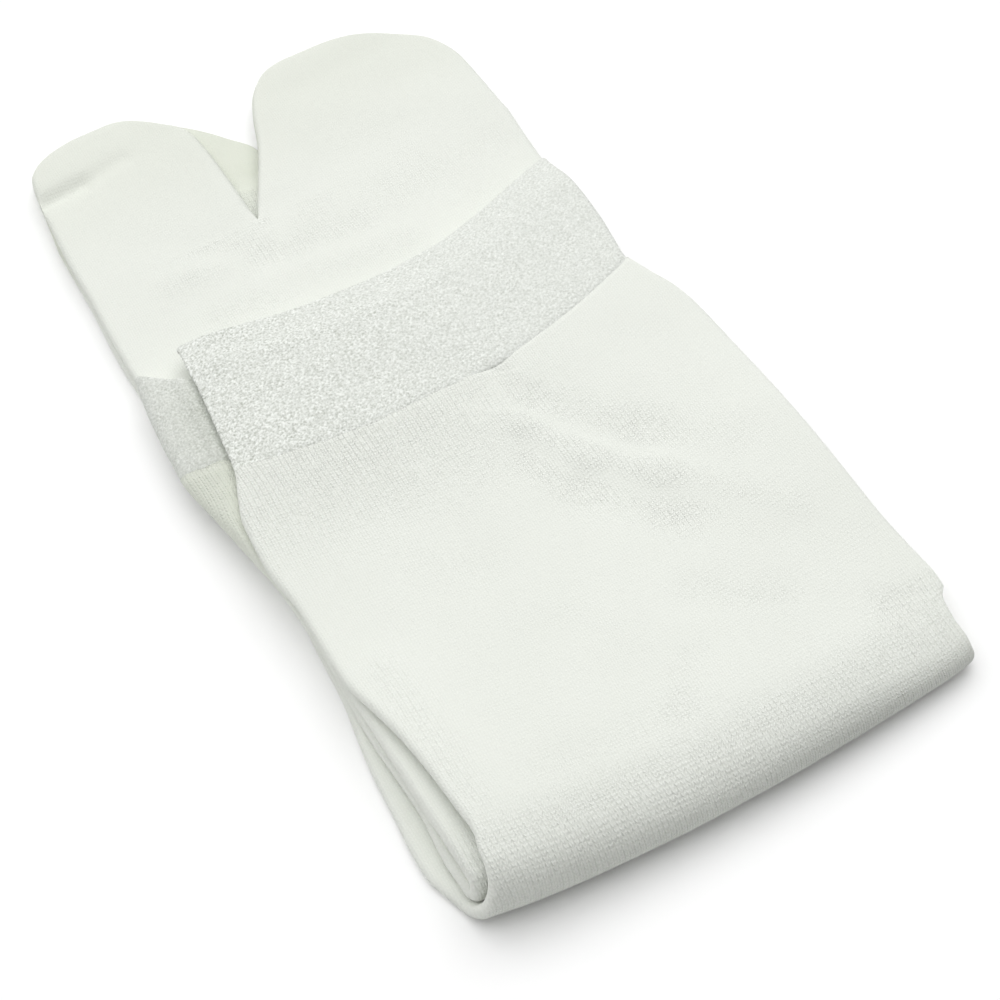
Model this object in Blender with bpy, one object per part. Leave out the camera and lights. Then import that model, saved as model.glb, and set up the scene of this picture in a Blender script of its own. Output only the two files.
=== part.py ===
"""A pair of white knitted tabi socks, laid one on the other and folded together at the ankle.

Each sock is a flattened knitted tube.  Its foot lies below, the tube turns back at the fold, and its leg
lies on top, ending in an elasticated cuff.  The outer sock wraps round the inner one, so from the table up
the layers are: outer foot, inner foot, inner leg, outer leg.  The toe end of each foot is split into a big
toe pocket and a pocket for the other toes.

Sizes are in millimetres in a working frame: x runs right along the fold, y runs from the fold to the toes
and z is up from the table.  The finished part is in metres, with its origin at the middle of its footprint.
"""

from collections import namedtuple

import bmesh
import bpy
import numpy as np

MM = 0.001

# ---------------------------------------------------------------- driving sizes, mm
TUBE = 2.7          # a flattened tube: two plies of knit
CUFF = 3.3          # the same, in the thicker knit of the cuff
GAP = 0.4           # between one layer and the next
SEAM_GAP = 0.3      # between a leg and its cuff
MOUTH_DEPTH = 7.0   # how far the slit between the cuff's two plies goes in
MOUTH_SLIT = 0.5    # how wide that slit is
LIP = 0.7           # rounding of the cuff's free edge
MIDDLE = (45.3, 98.35)   # x and y of the middle of the footprint, which is the part's origin

# Heights of the layers' middles over the table, in a stack that lies flat
OUTER_FOOT_Z = TUBE / 2
INNER_FOOT_Z = OUTER_FOOT_Z + TUBE + GAP
INNER_LEG_Z = INNER_FOOT_Z + TUBE + GAP
OUTER_LEG_Z = INNER_LEG_Z + TUBE + GAP
FLAT_STACK = OUTER_LEG_Z + TUBE / 2
INNER_CUFF_Z = INNER_LEG_Z - TUBE / 2 + CUFF / 2
OUTER_CUFF_Z = INNER_CUFF_Z + CUFF + GAP

# The fold of the outer sock across its width: how far its front reaches, how deep the turn is, and how high
# the stack stands there.  It is puffed up at its left end and pressed flat at its right end.
Turn = namedtuple("Turn", "x front depth height")
TURN = [
    Turn(-6, -2.2, 6.2, 15.6), Turn(0, -3.2, 6.5, 16.4), Turn(8, -4.5, 6.8, 15.8),
    Turn(20, -5.5, 7.0, 14.4), Turn(40, -6.2, 7.1, 12.8), Turn(55, -6.0, 6.8, 11.9),
    Turn(70, -5.2, 6.0, 10.6), Turn(83, -4.2, 5.1, 9.2), Turn(92, -3.3, 4.6, 8.2),
    Turn(99, -1.8, 4.2, 7.6),
]
TURN_REACH = (6.0, 62.0)    # y where the fold's own height starts and stops counting
INNER_RISE = 0.35           # share of the fold's puff that lifts the inner sock's leg too

# Both edges of each tube, along the foot, round the fold and along the leg
Foot = namedtuple("Foot", "y left right")
Bend = namedtuple("Bend", "angle left right")
Leg = namedtuple("Leg", "y left right")
Edge = namedtuple("Edge", "x y")

OUTER_FOOT = [
    Foot(4, -4.3, 97.4), Foot(7, -5.3, 98.0), Foot(11, -6.4, 98.2), Foot(16, -6.4, 97.8),
    Foot(24, -5.8, 97.0), Foot(32, -5.4, 96.4), Foot(40, -4.5, 95.6), Foot(50, -3.1, 95.0),
    Foot(60, -2.6, 94.4), Foot(72, -1.8, 93.6), Foot(90, -2.8, 92.0), Foot(104, -4.8, 91.0),
    Foot(120, -6.2, 90.2), Foot(141, -6.9, 90.0), Foot(160, -6.2, 90.2), Foot(170, -6.1, 89.8),
]
OUTER_BEND = [
    Bend(0, -4.3, 97.4), Bend(45, -3.0, 97.2), Bend(90, -1.2, 96.9), Bend(135, 0.5, 96.6),
    Bend(180, 1.4, 96.6),
]
OUTER_LEG = [
    Leg(4, 1.4, 96.6), Leg(8, 2.3, 97.3), Leg(9.5, 2.3, 97.6), Leg(11.5, 2.1, 99.2),
    Leg(14, 1.9, 99.4), Leg(21, 1.4, 98.6), Leg(30, 0.4, 97.7), Leg(37, -0.9, 97.4),
    Leg(47, -2.8, 97.0), Leg(64, -3.0, 96.1), Leg(75, -4.2, 95.3), Leg(86, -3.7, 94.4),
    Leg(92, -2.0, 93.2), Leg(98, 0.0, 90.8), Leg(104, 0.6, 88.6),
]
INNER_FOOT = [
    Foot(6, -2.6, 94.0), Foot(10, -2.9, 95.0), Foot(20, -2.2, 95.0), Foot(39, -3.0, 94.0),
    Foot(55, -2.4, 93.0), Foot(70, -1.8, 92.0), Foot(83, -3.4, 91.4), Foot(95, -5.2, 90.8),
    Foot(110, -6.0, 90.4), Foot(130, -6.4, 90.0), Foot(145, -6.3, 90.5), Foot(158, -5.9, 91.3),
]
INNER_BEND = [Bend(0, -2.6, 94.0), Bend(90, -1.9, 93.6), Bend(180, -1.6, 93.0)]
INNER_LEG = [
    Leg(6, -1.6, 93.0), Leg(20, -2.0, 93.5), Leg(45, -2.6, 92.0), Leg(70, -3.5, 89.0),
    Leg(81, -5.1, 87.0), Leg(93, -7.0, 85.5), Leg(105, -8.8, 84.0), Leg(112, -9.0, 83.5),
]

# Lines across the width where each leg ends and its cuff starts, and each cuff's free edge
OUTER_LEG_END = [
    Edge(-2, 97.2), Edge(12, 94.8), Edge(28, 92.7), Edge(52, 93.0), Edge(65, 95.0), Edge(77, 98.2),
    Edge(91, 103.4),
]
OUTER_MOUTH = [
    Edge(0, 131.8), Edge(8, 131.2), Edge(17, 130.2), Edge(30, 128.4), Edge(46, 127.4),
    Edge(58, 128.2), Edge(70, 131.2), Edge(80, 134.6), Edge(90, 138.0),
]
INNER_LEG_END = [Edge(-9, 104.6), Edge(0, 102.0), Edge(40, 99.0), Edge(84, 104.0)]
INNER_MOUTH = [
    Edge(-8, 133.6), Edge(-4, 129.0), Edge(2, 124.6), Edge(12, 120.6), Edge(30, 118.0),
    Edge(46, 117.6), Edge(62, 119.4), Edge(84, 127.0),
]
OUTER_CUFF_SIDES = [
    Leg(92, -0.6, 92.0), Leg(97, 0.0, 89.6), Leg(104, 0.8, 88.4), Leg(110, 1.4, 89.0),
    Leg(116, 2.0, 89.6), Leg(124, 2.5, 89.8), Leg(136, 3.0, 89.2),
]
INNER_CUFF_SIDES = [
    Leg(104, -8.8, 84.0), Leg(113, -8.6, 83.6), Leg(121, -8.1, 83.4), Leg(128, -7.3, 83.2),
    Leg(135, -6.1, 83.0),
]

# The toe pockets: edges along each, with the share of full thickness near the closed tip
Toe = namedtuple("Toe", "y left right full")
OUTER_BIG_TOE = [
    Toe(170, -6.1, 43.0, 1), Toe(174, -6.1, 42.7, 1), Toe(180, -5.5, 41.6, 1),
    Toe(186, -4.8, 37.4, 1), Toe(191, -4.3, 33.2, 1), Toe(196, -3.5, 28.2, 1),
    Toe(198.8, -1.0, 25.4, 0.95), Toe(200.7, 3.0, 22.8, 0.85), Toe(202.2, 7.4, 19.8, 0.65),
    Toe(202.9, 10.4, 17.6, 0.4),
]
OUTER_TOES = [
    Toe(170, 43.0, 89.8, 1), Toe(174, 45.0, 89.6, 1), Toe(181, 46.6, 88.0, 1),
    Toe(187, 49.4, 83.8, 1), Toe(191, 53.0, 79.0, 0.95), Toe(193.6, 57.0, 74.0, 0.8),
    Toe(194.8, 60.0, 70.0, 0.5),
]
INNER_BIG_TOE = [
    Toe(158, -5.9, 32.4, 1), Toe(162, -6.0, 32.3, 1), Toe(167, -6.0, 32.2, 1),
    Toe(176, -5.6, 32.0, 1), Toe(185, -4.9, 31.4, 1), Toe(190, -4.4, 30.2, 1),
    Toe(193.8, -3.8, 26.8, 1), Toe(196.6, -1.8, 23.8, 0.95), Toe(198.5, 1.6, 21.2, 0.85),
    Toe(199.8, 6.0, 18.2, 0.65), Toe(200.3, 8.6, 16.2, 0.4),
]
INNER_TOES = [
    Toe(158, 32.4, 91.3, 1), Toe(162, 34.0, 91.0, 1), Toe(168, 37.0, 90.8, 1),
    Toe(177, 41.2, 90.4, 1), Toe(185, 43.9, 87.6, 1), Toe(190, 46.1, 82.6, 1),
    Toe(193.4, 48.6, 77.8, 0.95), Toe(195.6, 51.2, 73.2, 0.85), Toe(196.8, 54.6, 68.6, 0.65),
    Toe(197.3, 57.4, 65.2, 0.4),
]

# Creases on a visible side: a soft line from one point to another, up (a ridge) or down (a trough) by rise.
# Half a width away from its line, a crease has faded to about a third of its rise.
Crease = namedtuple("Crease", "x0 y0 x1 y1 rise width")
LEG_CREASES = [
    Crease(40, 90, 51, 79, 0.7, 7), Crease(51, 79, 57, 66, 0.9, 7), Crease(57, 66, 67, 56, 0.9, 8),
    Crease(67, 56, 84, 38, 0.5, 9), Crease(53, 95, 55, 82, -0.9, 6), Crease(56, 82, 70, 66, -0.8, 11),
    Crease(70, 66, 84, 56, -0.4, 12), Crease(48, 71, 54, 60, -0.8, 8), Crease(54, 60, 66, 47, -0.6, 10),
    Crease(66, 47, 80, 37, -0.3, 10), Crease(45, 89, 46, 86, -0.6, 6), Crease(10, 78, 18, 76, -0.3, 14),
    Crease(4, 88, 4, 78, 0.5, 8), Crease(4, 44, 5, 12, 0.5, 8), Crease(60, 31, 72, 23, -0.35, 9),
    Crease(44, 12, 52, 20, -0.35, 8), Crease(20, 12, 46, 11, -0.3, 7),
    Crease(20, 62, 28, 56, -0.25, 12),
]
FOOT_CREASES = [
    Crease(-6, 190.3, 4, 190.0, -1.4, 4), Crease(4, 190.0, 12, 191.4, -0.7, 5),
    Crease(26, 148, 50, 146, -0.7, 8), Crease(12, 162, 28, 152, -0.6, 9),
    Crease(10, 151, 24, 150, 0.5, 8), Crease(14, 138, 30, 137, -0.6, 8),
    Crease(30, 140, 56, 137, 0.4, 8), Crease(28.5, 186, 29.0, 163, 0.5, 5),
    Crease(44, 186, 38, 164, 0.5, 6), Crease(33, 162, 32.6, 157, -0.7, 4),
    Crease(52, 178, 84, 166, 0.6, 14), Crease(56, 187, 80, 190, -0.6, 8),
    Crease(50, 165, 43, 154, -0.35, 9), Crease(76, 179, 80, 178, -0.4, 10),
    Crease(60, 150, 84, 152, -0.3, 14),
]

# The outer cuff reaches past the inner one, and droops there towards the foot
DROOP = 2.8             # at its free edge
DROOP_LEAD = 1.0        # how far inside the inner cuff's free edge it starts
DROOP_RUN = 12.0        # length past that edge over which it bends down
DROOP_LEFT = 0.45       # share of it at the left corner, which stands up
DROOP_LEFT_REACH = (4.0, 26.0)      # x over which that share grows to the whole of it
LEG_LIFT_RUN = 14.0     # length over which the outer leg rises to its cuff

# Mesh density
WIDE_SIDE = 25      # points across a tube's visible side
PLAIN_SIDE = 13     # points across its hidden side
EDGE_ANGLES = (45, 90, 135)     # points round each rounded edge, degrees
BEND_RINGS = 9
CUFF_RINGS = 8
# y of the rings along a foot and a leg, close together where the form changes most
FOOT_STATIONS = (152, 146, 140, 134, 126, 112, 98, 84, 70, 58, 48, 40, 32, 24, 18, 13, 10, 7)
LEG_STATIONS = (6.5, 9, 11, 13, 16, 20, 25, 30, 35, 40, 45, 50, 55, 60, 65, 70, 75, 80, 85, 90)
TURN_AT = 3.0       # y near which the turn starts
LEG_ENDS_AT = 94.5  # y near which a leg meets its cuff
CROTCH_RUN = 4.0    # least length from the crotch back to the foot's first station
SHARP_RINGS = 2     # rings over which a toe pocket's edge beside the split gets its full rounding
CENTRE = 45.0       # x at the middle of the width
SETTLE = 4          # rounds in which a point's x and y settle on their tables
SAME_PLACE = 1e-6   # places across a tube that are closer than this are the same


# ---------------------------------------------------------------- reading the tables
def column(rows, name, key, at):
    """Read one column of a table between its rows, on a smooth curve that never overshoots them."""
    keys = np.array([getattr(row, key) for row in rows], float)
    values = np.array([getattr(row, name) for row in rows], float)
    step = np.diff(keys)
    slope = np.diff(values) / step
    tangent = np.zeros(len(values))
    tangent[0], tangent[-1] = slope[0], slope[-1]
    product = slope[:-1] * slope[1:]
    total = np.where(product > 0, slope[:-1] + slope[1:], 1.0)
    tangent[1:-1] = np.where(product > 0, 2 * product / total, 0.0)
    at = np.asarray(at, float)
    cell = np.clip(np.searchsorted(keys, at) - 1, 0, len(step) - 1)
    t = np.clip((at - keys[cell]) / step[cell], 0, 1)
    start, end = values[cell], values[cell + 1]
    bend_in, bend_out = tangent[cell] * step[cell], tangent[cell + 1] * step[cell]
    rest = 1 - t
    return (start * (1 + 2 * t) * rest ** 2 + end * t ** 2 * (3 - 2 * t)
            + bend_in * t * rest ** 2 - bend_out * t ** 2 * rest)


def fade(low, high, at):
    """0 below low, 1 above high, smooth between."""
    t = np.clip((np.asarray(at, float) - low) / (high - low), 0, 1)
    return t * t * (3 - 2 * t)


def relief(creases, x, y):
    """Height that the creases add at a point."""
    total = np.zeros(np.shape(x))
    for crease in creases:
        run = np.array([crease.x1 - crease.x0, crease.y1 - crease.y0])
        along = ((x - crease.x0) * run[0] + (y - crease.y0) * run[1]) / (run @ run)
        along = np.clip(along, 0, 1)
        away = np.hypot(x - crease.x0 - along * run[0], y - crease.y0 - along * run[1])
        total = total + crease.rise * np.exp(-(2 * away / crease.width) ** 2)
    return total


# ---------------------------------------------------------------- the stack of layers
def stack_height(x, y):
    """Top of the stack over the table: that of the fold near it, and flat further back."""
    at_fold = column(TURN, "height", "x", x)
    return at_fold + (FLAT_STACK - at_fold) * fade(*TURN_REACH, y)


def press(x, y):
    """How far the stack is pressed together, as a share of its flat height."""
    return np.minimum(stack_height(x, y) / FLAT_STACK, 1)


def puff(x, y):
    """How far the outer leg stands up over a flat stack."""
    return np.maximum(stack_height(x, y) - FLAT_STACK, 0)


# A sock's own layers: their middle heights, how much of the puff lifts its leg, how far the leg rises to its
# cuff, how far inside the turn it lies, and its creases
Layers = namedtuple("Layers", "foot_z leg_z rise lift inset foot_creases leg_creases")
OUTER = Layers(OUTER_FOOT_Z, OUTER_LEG_Z, 1.0, CUFF - TUBE, 0.0, [], LEG_CREASES)
INNER = Layers(INNER_FOOT_Z, INNER_LEG_Z, INNER_RISE, 0.0, TUBE + 2 * GAP, FOOT_CREASES, [])


def foot_middle(layers, x, y):
    return layers.foot_z * press(x, y)


def leg_middle(layers, x, y):
    """Middle height of a leg.  The outer one rises at its end to its cuff, which lies on the inner cuff."""
    end = column(OUTER_LEG_END, "y", "x", x)
    lift = layers.lift * fade(end - LEG_LIFT_RUN, end, y)
    return layers.leg_z * press(x, y) + layers.rise * puff(x, y) + lift


def outer_cuff_middle(x, y):
    """Middle height of the outer cuff, with its droop past the inner cuff."""
    edge = column(INNER_MOUTH, "y", "x", x)
    share = DROOP_LEFT + (1 - DROOP_LEFT) * fade(*DROOP_LEFT_REACH, x)
    return OUTER_CUFF_Z - DROOP * share * fade(edge - DROOP_LEAD, edge + DROOP_RUN, y)


def inner_cuff_middle(x, y):
    """Middle height of the inner cuff, which lies flat."""
    return np.full_like(x, INNER_CUFF_Z)


def turn_start(x):
    """The y at which the turn starts, the same for both socks."""
    return column(TURN, "front", "x", x) + column(TURN, "depth", "x", x)


def turn_point(layers, x, angle, out):
    """y and z of a point of the turn, at an angle from the foot (0) to the leg (180) in degrees.

    out is how far it stands out from the middle line.  Each side of the tube turns on an ellipse of its own,
    so that the sides never meet however tight the turn.
    """
    y = turn_start(x)
    low, high = foot_middle(layers, x, y), leg_middle(layers, x, y)
    depth = column(TURN, "depth", "x", x) - (TUBE / 2 + layers.inset) * press(x, y) + out
    radius = (high - low) / 2 + out
    turned = np.radians(angle)
    return y - depth * np.sin(turned), (low + high) / 2 - radius * np.cos(turned)


# ---------------------------------------------------------------- the section of a flattened tube
# Points round a tube: place across it (0 to 1), reach past that into its rounded edge (-1 to 1), and side,
# which is 1 on the tube's outer side, -1 on its inner side and between them round the edge
Section = namedtuple("Section", "places reach side")


def section(outer, inner):
    """Section with points at the given places across the tube on its outer and its inner side."""
    angles = np.radians(EDGE_ANGLES)
    points = [(u, 0.0, 1.0) for u in outer]
    points += [(1.0, np.sin(a), np.cos(a)) for a in angles]
    points += [(u, 0.0, -1.0) for u in reversed(inner)]
    points += [(0.0, -np.sin(a), np.cos(a)) for a in angles[::-1]]
    return Section(*np.array(points).T)


def across(count, split):
    """Places across a tube, with one of them exactly at the split."""
    left = max(2, round(count * split))
    return np.concatenate([np.linspace(0, split, left + 1), np.linspace(split, 1, count - left)[1:]])


def sides_at(rows, y):
    """Left and right edge at y."""
    return column(rows, "left", "y", y), column(rows, "right", "y", y)


def lay(shape, left, right, round_left, round_right):
    """x of a section's points between two edges, each with its own rounding."""
    low, high = left + round_left, right - round_right
    rounding = np.where(shape.reach > 0, round_right, round_left)
    return low + (high - low) * shape.places + shape.reach * rounding


def lay_along(line, shape, rows, half, shrink=0.0):
    """x and y of a ring whose points lie on a line across the tube, which gives the y for each x."""
    x = np.full(len(shape.places), CENTRE)
    for _ in range(SETTLE):
        y = line(x)
        left, right = sides_at(rows, y)
        x = lay(shape, left + shrink, right - shrink, half, half)
    return x, y


# ---------------------------------------------------------------- building a sock
class Net:
    """Points and faces of one closed body."""

    def __init__(self):
        self.points = []
        self.faces = []

    def add(self, ring):
        """Keep a ring of points and return their numbers."""
        first = len(self.points)
        self.points.extend(ring)
        return list(range(first, len(self.points)))

    def join(self, ring, other):
        """A band of faces between two rings."""
        for here in range(len(ring)):
            ahead = (here + 1) % len(ring)
            self.faces.append((ring[here], ring[ahead], other[ahead], other[here]))

    def loft(self, rings):
        for ring, other in zip(rings, rings[1:]):
            self.join(ring, other)

    def cap(self, ring):
        self.faces.append(tuple(ring))

    def to_object(self, name, material):
        mesh = bpy.data.meshes.new(name)
        points = (np.array(self.points) - (*MIDDLE, 0)) * MM
        mesh.from_pydata([tuple(p) for p in points], [], self.faces)
        edit = bmesh.new()
        edit.from_mesh(mesh)
        bmesh.ops.recalc_face_normals(edit, faces=edit.faces)
        bmesh.ops.triangulate(edit, faces=edit.faces)
        edit.to_mesh(mesh)
        edit.free()
        mesh.materials.append(material)
        mesh.shade_smooth()
        body = bpy.data.objects.new(name, mesh)
        bpy.context.scene.collection.objects.link(body)
        return body


def foot_points(layers, x, y, side, full=1.0):
    """Points of a foot's ring; full is its share of a tube's thickness."""
    creases = relief(layers.foot_creases, x, y) * full * np.clip(-side, 0, 1)
    z = foot_middle(layers, x, y) - side * TUBE / 2 * full * press(x, y) + creases
    return np.stack([x, y, z], 1)


def toe_ring(layers, shape, row, round_left=1.0, round_right=1.0):
    """A ring across a toe pocket or the foot at its crotch."""
    half = TUBE / 2 * row.full
    x = lay(shape, row.left, row.right, half * round_left, half * round_right)
    return foot_points(layers, x, np.full_like(x, row.y), shape.side, row.full)


def foot_ring(layers, shape, rows, crotch_y, share):
    """A ring across a foot, at a share of the way from the crotch to the turn."""
    def line(x):
        return crotch_y + share * (turn_start(x) - crotch_y)

    x, y = lay_along(line, shape, rows, TUBE / 2)
    return foot_points(layers, x, y, shape.side)


def bend_ring(layers, shape, rows, angle):
    """A ring of the turn."""
    half = TUBE / 2
    left, right = (column(rows, edge, "angle", angle) for edge in ("left", "right"))
    x = lay(shape, left, right, half, half)
    y, z = turn_point(layers, x, angle, shape.side * half * press(x, turn_start(x)))
    return np.stack([x, y, z], 1)


def leg_ring(layers, shape, rows, end, share):
    """A ring across a leg, at a share of the way from the turn to its end line."""
    def line(x):
        start = turn_start(x)
        return start + share * (column(end, "y", "x", x) - SEAM_GAP - start)

    x, y = lay_along(line, shape, rows, TUBE / 2)
    creases = relief(layers.leg_creases, x, y) * np.clip(shape.side, 0, 1)
    z = leg_middle(layers, x, y) + shape.side * TUBE / 2 * press(x, y) + creases
    return np.stack([x, y, z], 1)


def toe_pocket(net, layers, rows, shape, first, inner_edge):
    """Rings of a toe pocket from the crotch to its closed tip; first is the ring at the crotch."""
    rings = [first]
    for number, row in enumerate(rows[1:], 1):
        sharp = min(1.0, number / SHARP_RINGS)
        roundings = {"round_right" if inner_edge == "right" else "round_left": sharp}
        rings.append(net.add(toe_ring(layers, shape, row, **roundings)))
    net.loft(rings)
    net.cap(rings[-1])


def build_sock(name, material, layers, sock):
    """One sock without its cuff: the toe pockets, the foot, the turn and the leg in one closed body."""
    crotch = sock.big_toe[0]
    left, right = crotch.left, sock.toes[0].right
    split = (crotch.right - left - TUBE / 2) / (right - left - TUBE)
    outer, inner = across(sock.outer_count, split), across(sock.inner_count, split)
    shape = section(outer, inner)
    net = Net()

    # the ring at the crotch, and the short line of points down inside it that both pockets share
    crotch_ring = net.add(toe_ring(layers, shape, Toe(crotch.y, left, right, 1)))
    outer_at = int(np.argmin(abs(outer - split)))
    inner_at = len(outer) + len(EDGE_ANGLES) + (len(inner) - 1 - int(np.argmin(abs(inner - split))))
    top, bottom = (np.array(net.points[crotch_ring[i]]) for i in (outer_at, inner_at))
    shares = [(1 - np.cos(np.radians(a))) / 2 for a in EDGE_ANGLES]
    chain = net.add([top + (bottom - top) * share for share in shares])

    left_first = crotch_ring[:outer_at + 1] + chain + crotch_ring[inner_at:]
    right_first = crotch_ring[outer_at:inner_at + 1] + chain[::-1]
    left_shape = section(*(p[p <= split + SAME_PLACE] / split for p in (outer, inner)))
    right_shape = section(*((p[p >= split - SAME_PLACE] - split) / (1 - split) for p in (outer, inner)))
    toe_pocket(net, layers, sock.big_toe, left_shape, left_first, "right")
    toe_pocket(net, layers, sock.toes, right_shape, right_first, "left")

    # the foot back to the turn, round it, and up the leg
    rings = [crotch_ring]
    for station in (y for y in FOOT_STATIONS if y < crotch.y - CROTCH_RUN):
        share = (crotch.y - station) / (crotch.y - TURN_AT)
        rings.append(net.add(foot_ring(layers, shape, sock.foot, crotch.y, share)))
    for angle in np.linspace(0, 180, BEND_RINGS + 2):
        rings.append(net.add(bend_ring(layers, shape, sock.bend, angle)))
    for station in (*LEG_STATIONS, LEG_ENDS_AT):
        share = (station - TURN_AT) / (LEG_ENDS_AT - TURN_AT)
        rings.append(net.add(leg_ring(layers, shape, sock.leg, sock.leg_end, share)))
    net.loft(rings)
    net.cap(rings[-1])
    return net.to_object(name, material)


# ---------------------------------------------------------------- building a cuff
def cuff_ring(cuff, share, half, shrink=0.0):
    """A ring across a cuff, at a share of the way from its seam to its free edge.

    half is half its thickness, and shrink is how far it is drawn in at its sides.
    """
    def line(x):
        seam = column(cuff.seam, "y", "x", x)
        return seam + share * (column(cuff.mouth, "y", "x", x) - seam)

    shape = section(np.linspace(0, 1, WIDE_SIDE), np.linspace(0, 1, PLAIN_SIDE))
    x, y = lay_along(line, shape, cuff.sides, half, shrink)
    return np.stack([x, y, cuff.middle(x, y) + shape.side * half], 1)


def build_cuff(name, material, cuff):
    """A flattened cuff, with a slit between its two plies at its free edge."""
    net = Net()
    half, slit = CUFF / 2, MOUTH_SLIT / 2
    length = column(cuff.mouth, "y", "x", CENTRE) - column(cuff.seam, "y", "x", CENTRE)
    lip, mouth = LIP / length, MOUTH_DEPTH / length
    rings = [net.add(cuff_ring(cuff, share, half)) for share in np.linspace(0, 1 - lip, CUFF_RINGS)]
    rings.append(net.add(cuff_ring(cuff, 1, half - LIP / 2, LIP / 2)))
    rings.append(net.add(cuff_ring(cuff, 1 - lip, slit, half - slit)))
    rings.append(net.add(cuff_ring(cuff, 1 - mouth, slit, half - slit)))
    net.loft(rings)
    net.cap(rings[0])
    net.cap(rings[-1])
    return net.to_object(name, material)


# ---------------------------------------------------------------- the part
def knit(name, colour, roughness):
    """A plain white knit."""
    material = bpy.data.materials.new(name)
    material.use_nodes = True
    shader = material.node_tree.nodes["Principled BSDF"]
    shader.inputs["Base Color"].default_value = (*colour, 1)
    shader.inputs["Roughness"].default_value = roughness
    shader.inputs["Metallic"].default_value = 0
    return material


# The tables of one sock, with the number of points across its outer and its inner side, and those of a cuff,
# with the function that gives its middle height
Sock = namedtuple("Sock", "foot bend leg leg_end big_toe toes outer_count inner_count")
Cuff = namedtuple("Cuff", "sides seam mouth middle")


def main():
    for old in list(bpy.data.objects):
        bpy.data.objects.remove(old)
    sock_knit = knit("sock_knit", (0.80, 0.83, 0.78), 0.9)
    cuff_knit = knit("cuff_knit", (0.76, 0.79, 0.74), 0.95)
    outer_sock = Sock(OUTER_FOOT, OUTER_BEND, OUTER_LEG, OUTER_LEG_END, OUTER_BIG_TOE, OUTER_TOES,
                      outer_count=WIDE_SIDE, inner_count=PLAIN_SIDE)
    inner_sock = Sock(INNER_FOOT, INNER_BEND, INNER_LEG, INNER_LEG_END, INNER_BIG_TOE, INNER_TOES,
                      outer_count=PLAIN_SIDE, inner_count=WIDE_SIDE)
    outer_cuff = Cuff(OUTER_CUFF_SIDES, OUTER_LEG_END, OUTER_MOUTH, outer_cuff_middle)
    inner_cuff = Cuff(INNER_CUFF_SIDES, INNER_LEG_END, INNER_MOUTH, inner_cuff_middle)
    build_sock("outer_sock", sock_knit, OUTER, outer_sock)
    build_sock("inner_sock", sock_knit, INNER, inner_sock)
    build_cuff("outer_cuff", cuff_knit, outer_cuff)
    build_cuff("inner_cuff", cuff_knit, inner_cuff)


main()
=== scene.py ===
"""The looks of a folded pair of white knitted tabi socks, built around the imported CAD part.

Each CAD solid is replaced by a shell of knit with real thickness, hollow between its two plies, on the same
form and much finer. The tables of its edges are those of the CAD source, with the tips of the toes drawn in
further. Its creases are mostly those of the source too, with small ones added. All are in millimetres, in
the same working frame: x runs right along the fold, y from the fold to the toes, z up, and MIDDLE is the
point that becomes the origin.
"""

from collections import namedtuple

import bmesh
import bpy
import numpy as np
from mathutils import Matrix, Vector


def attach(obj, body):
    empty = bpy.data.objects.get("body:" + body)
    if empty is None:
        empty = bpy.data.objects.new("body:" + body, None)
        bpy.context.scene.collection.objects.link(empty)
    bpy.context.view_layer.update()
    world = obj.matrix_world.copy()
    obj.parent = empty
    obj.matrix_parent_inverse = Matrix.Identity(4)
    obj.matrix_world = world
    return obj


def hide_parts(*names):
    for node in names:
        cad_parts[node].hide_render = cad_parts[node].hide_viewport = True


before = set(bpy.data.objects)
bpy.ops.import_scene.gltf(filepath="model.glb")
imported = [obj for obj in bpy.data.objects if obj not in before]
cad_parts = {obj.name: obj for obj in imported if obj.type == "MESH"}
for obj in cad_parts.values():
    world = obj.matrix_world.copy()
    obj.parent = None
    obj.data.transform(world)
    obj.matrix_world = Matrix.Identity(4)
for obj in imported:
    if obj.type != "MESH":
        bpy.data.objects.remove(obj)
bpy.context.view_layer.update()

MM = 0.001
MIDDLE = (45.3, 98.35)

# --- driving sizes, mm
TUBE = 2.7  # a flattened tube: two plies of knit
CUFF = 3.3  # the same, in the thicker knit of the cuff
GAP = 0.4  # between one layer and the next
UNDER_CUFF = 0.8  # length of a leg's end that is sewn inside its cuff
HOLLOW = 0.3  # between the two plies of a sock
MOUTH = 0.5  # between the two plies of a cuff
WALL = (TUBE - HOLLOW) / 2
TOE_END = 5.0  # how far short of a toe pocket's tip the hollow ends
CUFF_SUNK = 0.3  # how much less than its extra thickness a cuff stands over its leg
SHOULDER = 2.4  # length over which a cuff rises from its leg to full thickness
SHOULDER_HALF = 0.9  # half its thickness where it starts, inside the leg

# Heights of the layers' middles over the table, in a stack that lies flat
OUTER_FOOT_Z = TUBE / 2
INNER_FOOT_Z = OUTER_FOOT_Z + TUBE + GAP
INNER_LEG_Z = INNER_FOOT_Z + TUBE + GAP
OUTER_LEG_Z = INNER_LEG_Z + TUBE + GAP
FLAT_STACK = OUTER_LEG_Z + TUBE / 2
INNER_CUFF_Z = INNER_LEG_Z - TUBE / 2 + CUFF / 2
OUTER_CUFF_Z = INNER_CUFF_Z + CUFF + GAP

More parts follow.
